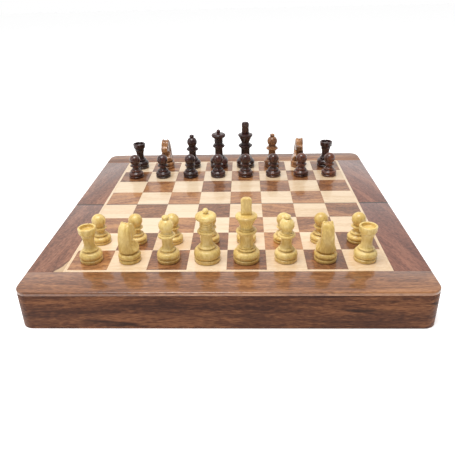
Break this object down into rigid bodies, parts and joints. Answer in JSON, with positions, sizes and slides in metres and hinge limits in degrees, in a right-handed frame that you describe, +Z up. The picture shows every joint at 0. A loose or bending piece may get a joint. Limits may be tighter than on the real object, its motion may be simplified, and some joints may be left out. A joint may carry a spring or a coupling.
{
  "type": "folding chess set with board",
  "caption": "Folding magnetic chess set: a hinged sheesham and maple board that folds into its own storage box, with turned light and dark wooden men set out on it.",
  "frame": {"origin": "middle of the opened board, under the fold line, on the surface it stands on", "axes": "+X along the ranks from the a file to the h file, +Y along the files from the light army to the dark one, +Z up"},
  "size_m": [0.3, 0.3, 0.0825],
  "materials": {
    "sheesham": "satin lacquer, dark streaks along the grain",
    "playing_field": "satin lacquer, light maple and dark sheesham squares",
    "maple": "satin lacquer",
    "plywood": "raw, sanded",
    "steel": "bare sheet",
    "velvet": "short pile velvet over foam",
    "brass": "satin",
    "light_boxwood": "turned and waxed, soft gloss",
    "dark_rosewood": "turned and lacquered, gloss"
  },
  "bodies": {
    "front_half": {"front_wall": "sheesham", "front_left_wall": "sheesham", "front_right_wall": "sheesham", "front_fold_wall": "sheesham", "front_base_panel": "plywood", "front_steel_sheet": "steel", "front_playfield": "playing_field", "front_inlay_string": "maple", "front_border": "sheesham", "front_left_border": "sheesham", "front_right_border": "sheesham", "front_storage_insert": "velvet", "left_hinge_front_leaf": "brass", "right_hinge_front_leaf": "brass"},
    "rear_half": {"rear_wall": "sheesham", "rear_left_wall": "sheesham", "rear_right_wall": "sheesham", "rear_fold_wall": "sheesham", "rear_base_panel": "plywood", "rear_steel_sheet": "steel", "rear_playfield": "playing_field", "rear_inlay_string": "maple", "rear_border": "sheesham", "rear_left_border": "sheesham", "rear_right_border": "sheesham", "rear_storage_insert": "velvet", "left_hinge_rear_leaf": "brass", "right_hinge_rear_leaf": "brass"},
    "light_rook_a": {"light_rook_a": "light_boxwood"},
    "light_knight_b": {"light_knight_b": "light_boxwood"},
    "light_bishop_c": {"light_bishop_c": "light_boxwood"},
    "light_queen": {"light_queen": "light_boxwood"},
    "light_king": {"light_king": "light_boxwood"},
    "light_bishop_f": {"light_bishop_f": "light_boxwood"},
    "light_knight_g": {"light_knight_g": "light_boxwood"},
    "light_rook_h": {"light_rook_h": "light_boxwood"},
    "light_pawn_a": {"light_pawn_a": "light_boxwood"},
    "light_pawn_b": {"light_pawn_b": "light_boxwood"},
    "light_pawn_c": {"light_pawn_c": "light_boxwood"},
    "light_pawn_d": {"light_pawn_d": "light_boxwood"},
    "light_pawn_e": {"light_pawn_e": "light_boxwood"},
    "light_pawn_f": {"light_pawn_f": "light_boxwood"},
    "light_pawn_g": {"light_pawn_g": "light_boxwood"},
    "light_pawn_h": {"light_pawn_h": "light_boxwood"},
    "dark_rook_a": {"dark_rook_a": "dark_rosewood"},
    "dark_knight_b": {"dark_knight_b": "dark_rosewood"},
    "dark_bishop_c": {"dark_bishop_c": "dark_rosewood"},
    "dark_queen": {"dark_queen": "dark_rosewood"},
    "dark_king": {"dark_king": "dark_rosewood"},
    "dark_bishop_f": {"dark_bishop_f": "dark_rosewood"},
    "dark_knight_g": {"dark_knight_g": "dark_rosewood"},
    "dark_rook_h": {"dark_rook_h": "dark_rosewood"},
    "dark_pawn_a": {"dark_pawn_a": "dark_rosewood"},
    "dark_pawn_b": {"dark_pawn_b": "dark_rosewood"},
    "dark_pawn_c": {"dark_pawn_c": "dark_rosewood"},
    "dark_pawn_d": {"dark_pawn_d": "dark_rosewood"},
    "dark_pawn_e": {"dark_pawn_e": "dark_rosewood"},
    "dark_pawn_f": {"dark_pawn_f": "dark_rosewood"},
    "dark_pawn_g": {"dark_pawn_g": "dark_rosewood"},
    "dark_pawn_h": {"dark_pawn_h": "dark_rosewood"}
  },
  "joints": [
    {"name": "board_fold", "type": "hinge", "parent": "front_half", "child": "rear_half", "pos_m": [0, 0, 0.00175], "axis": [-1, 0, 0], "range_deg": [0, 180]},
    {"name": "lift_light_rook_a", "type": "slide", "parent": "front_half", "child": "light_rook_a", "axis": [0, 0, 1], "range_m": [0, 0.06]},
    {"name": "lift_light_knight_b", "type": "slide", "parent": "front_half", "child": "light_knight_b", "axis": [0, 0, 1], "range_m": [0, 0.06]},
    {"name": "lift_light_bishop_c", "type": "slide", "parent": "front_half", "child": "light_bishop_c", "axis": [0, 0, 1], "range_m": [0, 0.06]},
    {"name": "lift_light_queen", "type": "slide", "parent": "front_half", "child": "light_queen", "axis": [0, 0, 1], "range_m": [0, 0.06]},
    {"name": "lift_light_king", "type": "slide", "parent": "front_half", "child": "light_king", "axis": [0, 0, 1], "range_m": [0, 0.06]},
    {"name": "lift_light_bishop_f", "type": "slide", "parent": "front_half", "child": "light_bishop_f", "axis": [0, 0, 1], "range_m": [0, 0.06]},
    {"name": "lift_light_knight_g", "type": "slide", "parent": "front_half", "child": "light_knight_g", "axis": [0, 0, 1], "range_m": [0, 0.06]},
    {"name": "lift_light_rook_h", "type": "slide", "parent": "front_half", "child": "light_rook_h", "axis": [0, 0, 1], "range_m": [0, 0.06]},
    {"name": "lift_light_pawn_a", "type": "slide", "parent": "front_half", "child": "light_pawn_a", "axis": [0, 0, 1], "range_m": [0, 0.06]},
    {"name": "lift_light_pawn_b", "type": "slide", "parent": "front_half", "child": "light_pawn_b", "axis": [0, 0, 1], "range_m": [0, 0.06]},
    {"name": "lift_light_pawn_c", "type": "slide", "parent": "front_half", "child": "light_pawn_c", "axis": [0, 0, 1], "range_m": [0, 0.06]},
    {"name": "lift_light_pawn_d", "type": "slide", "parent": "front_half", "child": "light_pawn_d", "axis": [0, 0, 1], "range_m": [0, 0.06]},
    {"name": "lift_light_pawn_e", "type": "slide", "parent": "front_half", "child": "light_pawn_e", "axis": [0, 0, 1], "range_m": [0, 0.06]},
    {"name": "lift_light_pawn_f", "type": "slide", "parent": "front_half", "child": "light_pawn_f", "axis": [0, 0, 1], "range_m": [0, 0.06]},
    {"name": "lift_light_pawn_g", "type": "slide", "parent": "front_half", "child": "light_pawn_g", "axis": [0, 0, 1], "range_m": [0, 0.06]},
    {"name": "lift_light_pawn_h", "type": "slide", "parent": "front_half", "child": "light_pawn_h", "axis": [0, 0, 1], "range_m": [0, 0.06]},
    {"name": "lift_dark_rook_a", "type": "slide", "parent": "rear_half", "child": "dark_rook_a", "axis": [0, 0, 1], "range_m": [0, 0.06]},
    {"name": "lift_dark_knight_b", "type": "slide", "parent": "rear_half", "child": "dark_knight_b", "axis": [0, 0, 1], "range_m": [0, 0.06]},
    {"name": "lift_dark_bishop_c", "type": "slide", "parent": "rear_half", "child": "dark_bishop_c", "axis": [0, 0, 1], "range_m": [0, 0.06]},
    {"name": "lift_dark_queen", "type": "slide", "parent": "rear_half", "child": "dark_queen", "axis": [0, 0, 1], "range_m": [0, 0.06]},
    {"name": "lift_dark_king", "type": "slide", "parent": "rear_half", "child": "dark_king", "axis": [0, 0, 1], "range_m": [0, 0.06]},
    {"name": "lift_dark_bishop_f", "type": "slide", "parent": "rear_half", "child": "dark_bishop_f", "axis": [0, 0, 1], "range_m": [0, 0.06]},
    {"name": "lift_dark_knight_g", "type": "slide", "parent": "rear_half", "child": "dark_knight_g", "axis": [0, 0, 1], "range_m": [0, 0.06]},
    {"name": "lift_dark_rook_h", "type": "slide", "parent": "rear_half", "child": "dark_rook_h", "axis": [0, 0, 1], "range_m": [0, 0.06]},
    {"name": "lift_dark_pawn_a", "type": "slide", "parent": "rear_half", "child": "dark_pawn_a", "axis": [0, 0, 1], "range_m": [0, 0.06]},
    {"name": "lift_dark_pawn_b", "type": "slide", "parent": "rear_half", "child": "dark_pawn_b", "axis": [0, 0, 1], "range_m": [0, 0.06]},
    {"name": "lift_dark_pawn_c", "type": "slide", "parent": "rear_half", "child": "dark_pawn_c", "axis": [0, 0, 1], "range_m": [0, 0.06]},
    {"name": "lift_dark_pawn_d", "type": "slide", "parent": "rear_half", "child": "dark_pawn_d", "axis": [0, 0, 1], "range_m": [0, 0.06]},
    {"name": "lift_dark_pawn_e", "type": "slide", "parent": "rear_half", "child": "dark_pawn_e", "axis": [0, 0, 1], "range_m": [0, 0.06]},
    {"name": "lift_dark_pawn_f", "type": "slide", "parent": "rear_half", "child": "dark_pawn_f", "axis": [0, 0, 1], "range_m": [0, 0.06]},
    {"name": "lift_dark_pawn_g", "type": "slide", "parent": "rear_half", "child": "dark_pawn_g", "axis": [0, 0, 1], "range_m": [0, 0.06]},
    {"name": "lift_dark_pawn_h", "type": "slide", "parent": "rear_half", "child": "dark_pawn_h", "axis": [0, 0, 1], "range_m": [0, 0.06]}
  ]
}
